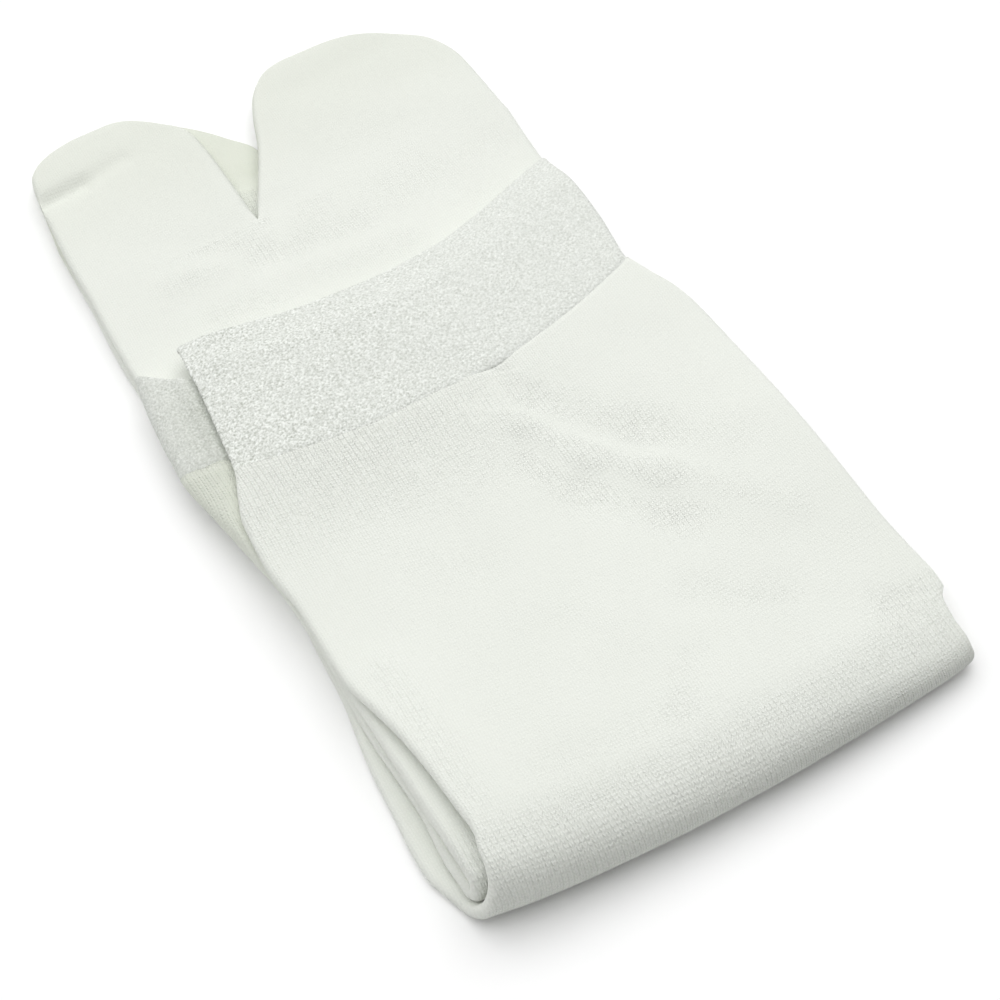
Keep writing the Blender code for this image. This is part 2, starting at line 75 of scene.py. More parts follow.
# The knit: widths of a stitch column (wale) and heights of a row (course)
SOCK_WALE, SOCK_COURSE = 1.0, 0.72
CUFF_WALE, CUFF_COURSE = 0.70, 0.64
CUFF_RELIEF = 0.20  # height of a cuff's stitches over the holes between them, where it is gathered
FLAT_SHARE = 0.35  # share of that height where the cuff is stretched flat
LOOP_WIDTH, LOOP_LENGTH = 0.32, 0.38  # of one loop, in wales and in courses
LOOP_SCATTER = 0.9  # how far a loop lies from its place at most, both ways together
LOOP_LEAST, LOOP_MORE = 0.55, 0.45  # height of the lowest loop, and what the highest adds
LIP_RAISED = 0.5  # share of the loops' relief that goes round a cuff's lip
NEIGHBOURS = [(w, c) for w in (-1, 0, 1) for c in (-1, 0, 1)]  # a loop's own cell and those round it

# How far a leg's columns stand open, from 0 to 1
OPEN_AT_TURN = 0.66
OPEN_TO = 14.0  # the y where that has faded out
OPEN_BY_CUFF = 0.85  # where the cuff draws the leg in
OPEN_FROM = 58.0  # the y where that starts
OPEN_ACROSS = (25.0, 80.0)  # x over which it fades out
OPEN_BY_CREASE = 0.8  # for each mm of a crease
OPEN_IN_CREASE = 0.6  # in a crease, at most

# Where the knit is closer and duller, partly painted shade, and where painted shade darkens it
CLOSER_TOES_AND_SHADE = (155.0, 195.0)  # y over which the toes get closer and duller, partly painted shade
LEG_PAINTED_SHADE_ALONG = (50.0, 84.0)  # y over which painted shade sets in on the inner leg, towards its cuff
TURN_SHADE = 0.05  # painted shade: how much darker the turn is
LOW_TURN_SHADE = 0.19  # how much more painted shade low on its front, at most
LOW_TURN = (180.0, 140.0)  # angles over which that sets in
SHOULDER_SHARE = 0.25  # share of it that the turn's shoulder has
SHOULDER_TO = 7.0  # the y where that has faded out
Shade = namedtuple("Shade", "x share")
LOW_TURN_SHARES = [  # share of it along the fold
    Shade(0, 0.0), Shade(15, 0.3), Shade(40, 0.4), Shade(55, 0.65), Shade(72, 0.95), Shade(88, 0.7),
]

STRETCHED = (-30.0, 95.0)  # x over which a cuff's stitches go from gathered to stretched flat
CREVICE_ACROSS = (-8.0, -1.0)  # x over which painted shade in the inner cuff's crevice, beside the outer cuff, sets in
CREVICE_ALONG = (128.0, 114.0)  # the same along y

RELIEF = 0.48  # share of the creases' rise in the tables that a sock's soft knit shows


# --- form tables
def table(columns, *rows):
    """Rows with named columns."""
    return [columns(*row) for row in rows]


# The fold of the outer sock across its width: how far its front reaches, how deep the turn is, and how high
# the stack stands there
Turn = namedtuple("Turn", "x front depth height")
TURN = table(Turn,
    (-6, -2.2, 6.2, 15.6), (0, -3.2, 6.5, 16.4), (8, -4.5, 6.8, 15.8), (20, -5.5, 7.0, 14.4),
    (40, -6.2, 7.1, 12.8), (55, -6.0, 6.8, 11.9), (70, -5.2, 6.0, 10.6), (83, -4.2, 5.1, 9.2),
    (92, -3.3, 4.6, 8.2), (99, -1.8, 4.2, 7.6),
)
TURN_REACH = (6.0, 62.0)  # y over which the stack goes from its height there to that of flat layers

# Both edges of each tube, along the foot, round the fold and along the leg
Foot = namedtuple("Foot", "y left right")
Bend = namedtuple("Bend", "angle left right")
Leg = namedtuple("Leg", "y left right")
Edge = namedtuple("Edge", "x y")

OUTER_FOOT = table(Foot,
    (4, -4.3, 97.4), (7, -5.3, 98.0), (11, -6.4, 98.2), (16, -6.4, 97.8), (24, -5.8, 97.0),
    (32, -5.4, 96.4), (40, -4.5, 95.6), (50, -3.1, 95.0), (60, -2.6, 94.4), (72, -1.8, 93.6),
    (90, -2.8, 92.0), (104, -4.8, 91.0), (120, -6.2, 90.2), (141, -6.9, 90.0), (160, -6.2, 90.2),
    (170, -6.1, 89.8),
)
OUTER_BEND = table(Bend,
    (0, -4.3, 97.4), (45, -3.0, 97.2), (90, -1.2, 96.9), (135, 0.5, 96.6), (180, 1.4, 96.6),
)
OUTER_LEG = table(Leg,
    (4, 1.4, 96.6), (8, 2.3, 97.3), (9.5, 2.3, 97.6), (11.5, 2.1, 99.2), (14, 1.9, 99.4), (21, 1.4, 98.6),
    (30, 0.4, 97.7), (37, -0.9, 97.4), (47, -2.8, 97.0), (64, -3.0, 96.1), (75, -4.2, 95.3),
    (86, -3.7, 94.4), (92, -2.0, 93.2), (98, 0.0, 90.8), (104, 0.6, 88.6),
)
INNER_FOOT = table(Foot,
    (6, -2.6, 94.0), (10, -2.9, 95.0), (20, -2.2, 95.0), (39, -3.0, 94.0), (55, -2.4, 93.0),
    (70, -1.8, 92.0), (83, -3.4, 91.4), (95, -5.2, 90.8), (110, -6.0, 90.4), (130, -6.4, 90.0),
    (145, -6.3, 90.5), (158, -5.9, 91.3),
)
INNER_BEND = table(Bend,
    (0, -2.6, 94.0), (90, -1.9, 93.6), (180, -1.6, 93.0),
)
INNER_LEG = table(Leg,
    (6, -1.6, 93.0), (20, -2.0, 93.5), (45, -2.6, 92.0), (70, -3.5, 89.0), (81, -5.1, 87.0),
    (93, -7.0, 85.5), (105, -8.8, 84.0), (112, -9.0, 83.5),
)

# Lines across the width where each leg ends and its cuff starts, and each cuff's free edge
OUTER_LEG_END = table(Edge,
    (-2, 97.2), (12, 94.8), (28, 92.7), (52, 93.0), (65, 95.0), (77, 98.2), (91, 103.4),
)
OUTER_MOUTH = table(Edge,
    (0, 131.8), (8, 131.2), (17, 130.2), (30, 128.4), (46, 127.4), (58, 128.2), (70, 131.2), (80, 134.6),
    (90, 138.0),
)
INNER_LEG_END = table(Edge,
    (-9, 104.6), (0, 102.0), (40, 99.0), (84, 104.0),
)
INNER_MOUTH = table(Edge,
    (-8, 133.6), (-4, 129.0), (2, 124.6), (12, 120.6), (30, 118.0), (46, 117.6), (62, 119.4), (84, 127.0),
)
OUTER_CUFF_SIDES = table(Leg,
    (92, -0.6, 92.0), (97, 0.0, 89.6), (104, 0.8, 88.4), (110, 1.4, 89.0), (116, 2.0, 89.6),
    (124, 2.5, 89.8), (136, 3.0, 89.2),
)
INNER_CUFF_SIDES = table(Leg,
    (104, -8.8, 84.0), (113, -8.6, 83.6), (121, -8.1, 83.4), (128, -7.3, 83.2), (135, -6.1, 83.0),
)

# The toe pockets: edges along each, with the share of full thickness near the closed tip
Toe = namedtuple("Toe", "y left right full")
OUTER_BIG_TOE = table(Toe,
    (170, -6.1, 43.0, 1), (174, -6.1, 42.7, 1), (180, -5.5, 41.6, 1), (186, -4.8, 37.4, 1),
    (191, -4.3, 33.2, 1), (196, -3.5, 28.2, 1), (198.8, -1.0, 25.4, 0.95), (200.7, 3.0, 22.8, 0.85),
    (202.2, 7.4, 19.8, 0.65), (202.9, 10.4, 17.6, 0.4), (203.1, 12.6, 15.6, 0.15),
)
OUTER_TOES = table(Toe,
    (170, 43.0, 89.8, 1), (174, 45.0, 89.6, 1), (181, 46.6, 88.0, 1), (187, 49.4, 83.8, 1),
    (191, 53.0, 79.0, 0.95), (193.6, 57.0, 74.0, 0.8), (194.8, 60.0, 70.0, 0.5), (195.1, 63.0, 67.0, 0.2),
)
INNER_BIG_TOE = table(Toe,
    (158, -5.9, 32.4, 1), (162, -6.0, 32.3, 1), (167, -6.0, 32.2, 1), (176, -5.6, 32.0, 1),
    (185, -4.9, 31.4, 1), (190, -4.4, 30.2, 1), (193.8, -3.8, 26.8, 1), (196.6, -1.8, 23.8, 0.95),
    (198.5, 1.6, 21.2, 0.85), (199.8, 6.0, 18.2, 0.65), (200.3, 8.6, 16.2, 0.4), (200.5, 11.2, 13.8, 0.15),
)
INNER_TOES = table(Toe,
    (158, 32.4, 91.3, 1), (162, 34.0, 91.0, 1), (168, 37.0, 90.8, 1), (177, 41.2, 90.4, 1),
    (185, 43.9, 87.6, 1), (190, 46.1, 82.6, 1), (193.4, 48.6, 77.8, 0.95), (195.6, 51.2, 73.2, 0.85),
    (196.8, 54.6, 68.6, 0.65), (197.3, 57.4, 65.2, 0.4), (197.5, 60.4, 62.4, 0.15),
)

# Creases on a visible side: a soft line from one point to another, up (a ridge) or down (a trough) by rise.
# Half a width away from its line, a crease has faded to about a third of its rise.
Crease = namedtuple("Crease", "x0 y0 x1 y1 rise width")
LEG_CREASES = table(Crease,
    (40, 90, 51, 79, 0.7, 7), (51, 79, 57, 66, 0.9, 7), (57, 66, 67, 56, 0.9, 8), (67, 56, 84, 38, 0.5, 9),
    (53, 95, 55, 82, -0.9, 6), (56, 82, 70, 66, -0.65, 11), (70, 66, 84, 56, -0.4, 12),
    (48, 71, 54, 60, -0.8, 8), (54, 60, 66, 47, -0.6, 10), (66, 47, 80, 37, -0.3, 10),
    (45, 89, 46, 86, -0.6, 6), (10, 78, 18, 76, -0.3, 14), (4, 88, 4, 78, 0.5, 8), (4, 44, 5, 12, 0.5, 8),
    (60, 31, 72, 23, -0.35, 9), (44, 12, 52, 20, -0.35, 8), (20, 12, 46, 11, -0.3, 7),
    (20, 62, 28, 56, -0.25, 12),
)
FOOT_CREASES = table(Crease,
    (-7, 185.8, 5, 187.0, -3.0, 4.5), (9, 187.6, 15, 188.6, -1.2, 4.5), (-7, 183.4, 8, 184.4, -0.7, 9),
    (26, 148, 50, 146, -0.5, 8), (12, 162, 28, 152, -0.6, 9), (10, 151, 24, 150, 0.5, 8),
    (14, 138, 30, 137, -0.45, 8), (30, 140, 56, 137, 0.4, 8), (28.5, 186, 29.0, 163, 0.5, 5),
    (44, 186, 38, 164, 0.5, 6), (33, 162, 32.6, 157, -0.7, 4), (52, 178, 84, 166, 0.6, 14),
    (56, 187, 80, 190, -0.6, 8), (50, 165, 43, 154, -0.35, 9), (76, 179, 80, 178, -0.4, 10),
    (60, 150, 84, 152, -0.3, 14),
)
# The inner leg and cuff fill the crevice beside the outer leg and cuff
INNER_LEG_CREASES = table(Crease,
    (-5.0, 78, -4.7, 86.8, 1.8, 3), (-4.4, 89.2, -1.4, 102, 2.2, 3),
)
INNER_CUFF_CREASES = table(Crease,
    (-0.9, 102, 1.1, 126, 0.6, 3.4),
)
# Smaller ones that the plain solids leave out. The last two of the leg's round off the front of the fold.
LEG_FINE = table(Crease,
    (62, 27, 97, 11, -0.10, 2.2),  # the heel's gore line, from the notch in the right edge
    (30, 84, 36, 72, -0.16, 6), (24, 88, 27, 79, 0.14, 5), (14, 90, 17, 84, -0.12, 5),
    (72, 78, 84, 70, 0.14, 8), (74, 90, 86, 84, -0.12, 7), (30, 44, 42, 36, 0.12, 10),
    (8, 62, 12, 50, -0.12, 7), (84, 30, 94, 26, -0.14, 7), (36, 28, 56, 24, 0.10, 9),
    (88, 12, 99, 11, -0.8, 8), (2, -3, 34, -4.8, -1.5, 13), (45, -5, 97, -0.5, -2.0, 16),
)
FOOT_FINE = table(Crease,
    (64, 160, 80, 156, 0.14, 8), (4, 176, 16, 180, -0.14, 7), (14, 186, 22, 178, 0.12, 6),
    (58, 172, 66, 180, -0.12, 7), (0, 146, 8, 140, 0.12, 7), (70, 140, 82, 138, -0.12, 8),
    (36, 156, 33.5, 150, 0.16, 3.5),
)
CUFF_FINE = table(Crease,
    (6, 127, 24, 123, -0.30, 5), (24, 123, 60, 122, -0.35, 5), (60, 122, 84, 131, -0.20, 5),
    (8, 117, 32, 115.5, -0.22, 6), (30, 108, 66, 109, 0.16, 9), (64, 114, 84, 120, 0.14, 8),
    (6, 104, 22, 101, 0.12, 7), (44, 101, 47, 95, -0.22, 6), (1, 98, 3, 131, -1.15, 9),
)

# The cloth of the outer sock's big toe that shows in the V between the inner sock's toe pockets
HIDDEN_FOOT_CREASES = table(Crease,
    (32, 174, 29.5, 190, 0.66, 6), (33, 162, 38, 172, -1.9, 8), (40.5, 174, 40.5, 187, -1.8, 8),
)

# Waves of the cloth: their direction, their length over 2 pi, where they start and their height
Wave = namedtuple("Wave", "x y length start rise")
WAVES = table(Wave,
    (0.94, 0.34, 2.1, 0.3, 0.035), (0.26, -0.97, 2.7, 1.9, 0.045), (-0.77, 0.64, 3.9, 4.1, 0.06),
    (0.57, 0.82, 5.2, 2.6, 0.08), (-0.17, 0.98, 1.6, 5.3, 0.025),
)

# The inner leg and cuff reach past the feet on the left, and hang down there
SAG = 2.6
SAG_ACROSS = (-11.5, -3.4)  # x over which it fades out
SAG_ALONG = (48.0, 84.0)  # y over which it sets in

# The outer cuff reaches past the inner one, and droops there towards the foot
DROOP, DROOP_LEAD, DROOP_RUN = 2.8, 1.0, 12.0
DROOP_LEFT, DROOP_LEFT_REACH = 0.45, (4.0, 26.0)
LEG_LIFT_RUN = 26.0  # length over which a leg rises to its cuff

# --- mesh density, mm or counts
FINE, PLAIN = 98, 44  # points across a side that shows, and across a hidden one
EDGE_POINTS = 7  # points round each rounded edge
BEND_RINGS = 40  # round the turn
FINE_STEP, PLAIN_STEP = 1.0, 3.0  # between rings
HOLLOW_STEP = 6.0  # the same in a hollow
HOLLOW_BEND = 4  # a sock's hollow has one ring round the turn for this many of the outside's
TOE_STEP = 0.12  # between rings of a toe pocket, in rows of its table
CUFF_ACROSS, CUFF_PLAIN = 360, 60  # points across a cuff's upper and lower side
CUFF_STEP = 0.23  # between rings
LIP_RINGS = 5  # round a cuff's lip
TURN_AT = 3.0  # y near which the turn starts
CREASED_TURN = (90.0, 180.0)  # angles of the turn over which the leg's creases set in
LEG_ENDS_AT = 94.5  # y near which a leg meets its cuff
CENTRE = 45.0  # x near the middle of the width
SETTLE = 4  # how many times a ring's points are laid along their line anew
SAME_PLACE = 1e-6  # places across a tube that are closer than this are one


# --- reading the tables
def smooth(keys, values, at):
    """A smooth curve through values at keys that never overshoots them."""
    keys, values, at = (np.asarray(a, float) for a in (keys, values, at))
    step = np.diff(keys)
    slope = np.diff(values) / step
    tangent = np.zeros(len(values))
    tangent[0], tangent[-1] = slope[0], slope[-1]
    product = slope[:-1] * slope[1:]
    total = np.where(product > 0, slope[:-1] + slope[1:], 1.0)
    tangent[1:-1] = np.where(product > 0, 2 * product / total, 0.0)
    cell = np.clip(np.searchsorted(keys, at) - 1, 0, len(step) - 1)
    t = np.clip((at - keys[cell]) / step[cell], 0, 1)
    rest = 1 - t
    bend_in, bend_out = tangent[cell] * step[cell], tangent[cell + 1] * step[cell]
    return (values[cell] * (1 + 2 * t) * rest ** 2 + values[cell + 1] * t ** 2 * (3 - 2 * t)
            + bend_in * t * rest ** 2 - bend_out * t ** 2 * rest)


def column(rows, name, key, at):
    """One column of a table, read at a value of its key column."""
    return smooth([getattr(row, key) for row in rows], [getattr(row, name) for row in rows], at)


def row_between(rows, at):
    """A row at a place between the table's rows, counted from 0."""
    return type(rows[0])(*(float(smooth(range(len(rows)), values, at)) for values in zip(*rows)))


def fade(low, high, at):
    """0 below low, 1 above high, smooth between."""
    t = np.clip((np.asarray(at, float) - low) / (high - low), 0, 1)
    return t * t * (3 - 2 * t)


def relief(creases, x, y):
    """Height that the creases add at a point."""
    total = np.zeros(np.shape(x))
    for crease in creases:
        run = np.array([crease.x1 - crease.x0, crease.y1 - crease.y0])
        along = ((x - crease.x0) * run[0] + (y - crease.y0) * run[1]) / (run @ run)
        along = np.clip(along, 0, 1)
        away = np.hypot(x - crease.x0 - along * run[0], y - crease.y0 - along * run[1])
        total = total + crease.rise * np.exp(-(2 * away / crease.width) ** 2)
    return total


def unevenness(x, y):
    """A cloth never lies quite flat: a few long, low waves in different directions."""
    return sum(wave.rise * np.sin((x * wave.x + y * wave.y) / wave.length + wave.start) for wave in WAVES)


# --- the stack of layers
def stack_height(x, y):
    """Top of the stack over the table: that of the fold near it, and flat further back."""
    at_fold = column(TURN, "height", "x", x)
    return at_fold + (FLAT_STACK - at_fold) * fade(*TURN_REACH, y)


def press(x, y):
    """How far the stack is pressed together, as a share of its flat height."""
    return np.minimum(stack_height(x, y) / FLAT_STACK, 1)


def puff(x, y):
    """How far the outer leg stands up over a flat stack."""
    return np.maximum(stack_height(x, y) - FLAT_STACK, 0)


# One layer of a sock: its middle height, the shares of the puff that lift it and swell it, and its creases
Layer = namedtuple("Layer", "z rise swell creases")
# A sock's two layers, how far its leg rises to its cuff and how far inside the turn it lies
Layers = namedtuple("Layers", "foot leg lift inset")
OUTER = Layers(
    foot=Layer(OUTER_FOOT_Z, rise=0.0, swell=0.0, creases=HIDDEN_FOOT_CREASES),
    leg=Layer(OUTER_LEG_Z, rise=1.0, swell=0.0, creases=LEG_CREASES + LEG_FINE),
    lift=CUFF - TUBE + CUFF_SUNK, inset=0.0,
)
INNER = Layers(
    foot=Layer(INNER_FOOT_Z, rise=0.05, swell=0.05, creases=FOOT_CREASES + FOOT_FINE),
    leg=Layer(INNER_LEG_Z, rise=0.38, swell=0.24, creases=INNER_LEG_CREASES),
    lift=CUFF_SUNK, inset=TUBE + 2 * GAP,
)


def overhang(x, y):
    """How far the inner leg and its cuff hang down where they reach past the feet on the left."""
    return SAG * (1 - fade(*SAG_ACROSS, x)) * fade(*SAG_ALONG, y)


def foot_middle(layers, x, y):
    """Middle height of a foot."""
    return layers.foot.z * press(x, y) + layers.foot.rise * puff(x, y)


def leg_middle(layers, x, y):
    """Middle height of a leg. The outer one rises at its end to its cuff, which lies on the inner cuff."""
    end = column(OUTER_LEG_END, "y", "x", x)
    lift = layers.lift * fade(end - LEG_LIFT_RUN, end, y)
    sag = overhang(x, y) if layers is INNER else 0.0
    return layers.leg.z * press(x, y) + layers.leg.rise * puff(x, y) + lift - sag


def half_height(layer, skin, x, y):
    """Half the height of a tube's skin, which is less where the stack is pressed flat."""
    return skin.half * press(x, y) + layer.swell * skin.swell * puff(x, y)


def outer_cuff_middle(x, y):
    """Middle height of the outer cuff, with its droop past the inner cuff."""
    edge = column(INNER_MOUTH, "y", "x", x)
    share = DROOP_LEFT + (1 - DROOP_LEFT) * fade(*DROOP_LEFT_REACH, x)
    return OUTER_CUFF_Z - DROOP * share * fade(edge - DROOP_LEAD, edge + DROOP_RUN, y)


def inner_cuff_middle(x, y):
    """Middle height of the inner cuff."""
    return INNER_CUFF_Z - overhang(x, y)


def turn_start(x):
    """The y at which the turn starts, the same for both socks."""
    return column(TURN, "front", "x", x) + column(TURN, "depth", "x", x)


def turn_point(layers, skin, x, angle, side):
    """y and z of a point of the turn, at an angle from the foot (0) to the leg (180) in degrees."""
    y = turn_start(x)
    low, high = foot_middle(layers, x, y), leg_middle(layers, x, y)
    inside = TUBE / 2 + layers.inset - side * skin.half
    depth = column(TURN, "depth", "x", x) - inside * press(x, y)
    share = angle / 180
    half = (1 - share) * half_height(layers.foot, skin, x, y) + share * half_height(layers.leg, skin, x, y)
    radius = (high - low) / 2 + side * half
    turned = np.radians(angle)
    return y - depth * np.sin(turned), (low + high) / 2 - radius * np.cos(turned)


# --- the section of a flattened tube
Section = namedtuple("Section", "places reach side")


def section(outer, inner):
    """Points round a tube: places across it, reach into its rounded edges, and side (1 outer, -1 inner)."""
    angles = np.radians(np.linspace(0, 180, EDGE_POINTS + 2)[1:-1])
    points = [(u, 0.0, 1.0) for u in outer]
    points += [(1.0, np.sin(a), np.cos(a)) for a in angles]
    points += [(u, 0.0, -1.0) for u in reversed(inner)]
    points += [(0.0, -np.sin(a), np.cos(a)) for a in angles[::-1]]
    return Section(*np.array(points).T)


def across(count, split):
    """Places across a tube, with one of them exactly at the split."""
    left = max(2, round(count * split))
    return np.concatenate([np.linspace(0, split, left + 1), np.linspace(split, 1, count - left)[1:]])


def lay(shape, left, right, round_left, round_right):
    """x of a section's points between two edges, each with its own rounding."""
    low, high = left + round_left, right - round_right
    rounding = np.where(shape.reach > 0, round_right, round_left)
    return low + (high - low) * shape.places + shape.reach * rounding


def edge_line(rows, beyond=0.0):
    """The line that a table of edges describes, moved on along y. A line gives the y for an x."""
    return lambda x: column(rows, "y", "x", x) + beyond


def between(first, last, share):
    """The line that lies a share of the way from one line across a tube to another."""
    return lambda x: first(x) + share * (last(x) - first(x))


def lay_along(line, shape, rows, half, shrink=0.0):
    """x and y of a ring whose points lie on a line across the tube, which gives the y for each x."""
    x = np.full(len(shape.places), CENTRE)
    for _ in range(SETTLE):
        y = line(x)
        left, right = column(rows, "left", "y", y), column(rows, "right", "y", y)
        x = lay(shape, left + shrink, right - shrink, half, half)
    return x, y


def stations(low, high, step):
    """Places from low to high, about step apart."""
    return np.linspace(low, high, max(2, round(abs(high - low) / step) + 1))


# --- meshes
def new_object(name, data):
    """An object in the scene."""
    made = bpy.data.objects.new(name, data)
    bpy.context.scene.collection.objects.link(made)
    return made


class Net:
    """Points and faces of one closed body.

    Each point has its wale and course, how far the knit is open or gathered there, and a detail that its
    material reads.
    """

    def __init__(self):
        self.points, self.knit, self.details, self.quads, self.fans = [], [], [], [], []
        self.count = 0

    def add(self, points, course, wale_size, opened=0.0, detail=0.0):
        """Keep a ring of points, at a course of the knit, and return their numbers.

        opened is how far a sock's knit stands open there, or how far a cuff's is gathered, from 0 to 1. The
        detail of a sock is how much closer and duller its knit is, partly painted shade, or below 0 how much
        painted shade darkens it. That of a cuff is how high its loop counts for its tone, less the inner
        cuff's painted shade.
        """
        first, self.count = self.count, self.count + len(points)
        self.points.append(points)
        rest = np.zeros(len(points))
        self.knit.append(np.stack([points[:, 0] / wale_size, rest + course, rest + opened], 1))
        self.details.append(rest + detail)
        return np.arange(first, self.count)

    def place(self, numbers):
        """The points with these numbers."""
        return np.concatenate(self.points)[numbers]

    def loft(self, rings):
        """Bands of faces between each ring and the next."""
        for ring, other in zip(rings, rings[1:]):
            self.quads.append(np.stack([ring, np.roll(ring, -1), np.roll(other, -1), other], 1))

    def close(self, ring):
        """A fan of faces from the ring's own middle."""
        knit = np.concatenate(self.knit)[ring].mean(0)
        self.points.append(self.place(ring).mean(0)[None])
        self.knit.append(knit[None])
        self.details.append(np.concatenate(self.details)[ring].mean()[None])
        self.fans.append(np.stack([ring, np.roll(ring, -1), np.full(len(ring), self.count)], 1))
        self.count += 1

    def to_object(self, name, material):
        """A smooth object in the CAD's frame, in metres."""
        mesh = bpy.data.meshes.new(name)
        points = (np.concatenate(self.points) - (*MIDDLE, 0)) * MM
        faces = [face for part in self.quads + self.fans for face in part.tolist()]
        mesh.from_pydata(points.tolist(), [], faces)
        edit = bmesh.new()
        edit.from_mesh(mesh)
        bmesh.ops.recalc_face_normals(edit, faces=edit.faces)
        edit.to_mesh(mesh)
        edit.free()
        knit = mesh.attributes.new("knit", "FLOAT_VECTOR", "POINT")
        knit.data.foreach_set("vector", np.concatenate(self.knit).astype(np.float32).ravel())
        detail = mesh.attributes.new("detail", "FLOAT", "POINT")
        detail.data.foreach_set("value", np.concatenate(self.details).astype(np.float32))
        mesh.materials.append(material)
        mesh.shade_smooth()
        return new_object(name, mesh)


# --- a sock
# A sock has two skins: the outside of its tube and the hollow between its plies. Each has half the height
# between its faces, how far inside the tube's edges it lies, how far it swells with the tube, and how far it
# follows the creases on the side that has them and on the other side.
Skin = namedtuple("Skin", "half inset swell follow_shown follow_hidden")
OUTSIDE = Skin(TUBE / 2, 0.0, 1.0, RELIEF, 0.0)
INSIDE = Skin(HOLLOW / 2, WALL, 0.3, RELIEF / 2, RELIEF / 2)

# A sock: its layers and tables, then its density: points across its outer and inner side, the y down to which
# its foot's rings are close, the step along its leg and the rings round its turn. Last, how much closer and
# duller its knit gets at the toes, partly painted shade, and the painted shade on its leg towards its cuff.
Sock = namedtuple("Sock", (
    "layers foot bend leg leg_end big_toe toes "
    "outer_count inner_count foot_fine leg_step bend_rings toe_tone leg_tone"
))


def crease_share(skin, shown):
    """Share of the creases that a skin follows, where shown is 1 on the side that has them."""
    return skin.follow_hidden + (skin.follow_shown - skin.follow_hidden) * np.clip(shown, 0, 1)


def open_share(creases, shows, at_least=0.0):
    """How far the knit stands open: more where it is drawn over a crease, and none at a tube's edge."""
    by_creases = np.clip(abs(creases) * OPEN_BY_CREASE, 0, OPEN_IN_CREASE)
    return np.clip(shows, 0, 1) * np.maximum(at_least, by_creases)


def closer_toes_and_shade(tone, y):
    """How much closer and duller the knit is near the toes, partly painted shade, at most 1."""
    return np.minimum(tone * fade(*CLOSER_TOES_AND_SHADE, y), 1)


def turn_shade(x, share, low_share):
    """How much painted shade darkens the turn's knit, for shares of its own shade and of that low on its
    front.
    """
    return TURN_SHADE * share + LOW_TURN_SHADE * low_share * np.interp(x, *zip(*LOW_TURN_SHARES))


def turn_course(layers, angle):
    """The course of the knit at an angle of the turn, as its rows go on round the fold."""
    length = np.pi * (leg_middle(layers, CENTRE, TURN_AT) - foot_middle(layers, CENTRE, TURN_AT)) / 2
    return TURN_AT / SOCK_COURSE - length * angle / 180 / SOCK_COURSE


def foot_points(sock, skin, x, y, side, full=1.0):
    """Points of a foot's ring. Its upper side, which shows, is the inner side of the tube's turn."""
    layers = sock.layers
    creases = (relief(layers.foot.creases, x, y) + unevenness(x, y)) * full * crease_share(skin, -side)
    z = foot_middle(layers, x, y) - side * half_height(layers.foot, skin, x, y) * full + creases
    return np.stack([x, y, z], 1)


def pocket(net, sock, skin, rows, shape, first, split_edge):
    """A toe pocket, from its ring at the crotch to its closed tip.

    Its edge at the split is sharp at the crotch, and as round as the other from the table's second row on.
    """
    rings = [first]
    start_y = net.place(first)[:, 1].mean()
    for at in np.arange(TOE_STEP, len(rows) - 1 + TOE_STEP / 2, TOE_STEP):
        row = row_between(rows, at)
        if skin is INSIDE and (row.y <= start_y or row.y > rows[-1].y - TOE_END):
            continue
        half = skin.half * row.full
        left_round, right_round = (min(1.0, at) if split_edge == edge else 1 for edge in ("left", "right"))
        x = lay(shape, row.left + skin.inset * left_round, row.right - skin.inset * right_round,
                half * left_round, half * right_round)
        points = foot_points(sock, skin, x, np.full_like(x, row.y), shape.side, row.full)
        # closer, duller knit of the toes, partly painted shade
        tone = closer_toes_and_shade(sock.toe_tone, row.y)
        rings.append(net.add(points, row.y / SOCK_COURSE, SOCK_WALE, detail=tone))
    net.loft(rings)
    net.close(rings[-1])


def toe_end(net, sock, skin):
    """Both toe pockets of a skin. Gives the section of its tube, and its ring at the crotch between them."""
    crotch = sock.big_toe[0]
    left, right = crotch.left, sock.toes[0].right
    split = (crotch.right - left - TUBE / 2) / (right - left - TUBE)
    outer, inner = across(sock.outer_count, split), across(sock.inner_count, split)
    shape = section(outer, inner)
    y = crotch.y - skin.inset
    course, tone = y / SOCK_COURSE, closer_toes_and_shade(sock.toe_tone, y)
    x = lay(shape, left + skin.inset, right - skin.inset, skin.half, skin.half)
    ring = net.add(foot_points(sock, skin, x, np.full_like(x, y), shape.side), course, SOCK_WALE, detail=tone)

    # a short line of points from the tube's outer side to its inner one, which both pockets share
    outer_at = int(np.argmin(abs(outer - split)))
    inner_at = len(outer) + EDGE_POINTS + (len(inner) - 1 - int(np.argmin(abs(inner - split))))
    start, end = net.place(ring[[outer_at, inner_at]])
    shares = (1 - np.cos(np.linspace(0, np.pi, EDGE_POINTS + 2)[1:-1])) / 2
    chain = net.add(start + (end - start) * shares[:, None], course, SOCK_WALE, detail=tone)

    big_toe_ring = np.concatenate([ring[:outer_at + 1], chain, ring[inner_at:]])
    toes_ring = np.concatenate([ring[outer_at:inner_at + 1], chain[::-1]])
    big_toe_shape = section(*(p[p <= split + SAME_PLACE] / split for p in (outer, inner)))
    toes_shape = section(*((p[p >= split - SAME_PLACE] - split) / (1 - split) for p in (outer, inner)))
    pocket(net, sock, skin, sock.big_toe, big_toe_shape, big_toe_ring, "right")
    pocket(net, sock, skin, sock.toes, toes_shape, toes_ring, "left")
    return shape, ring


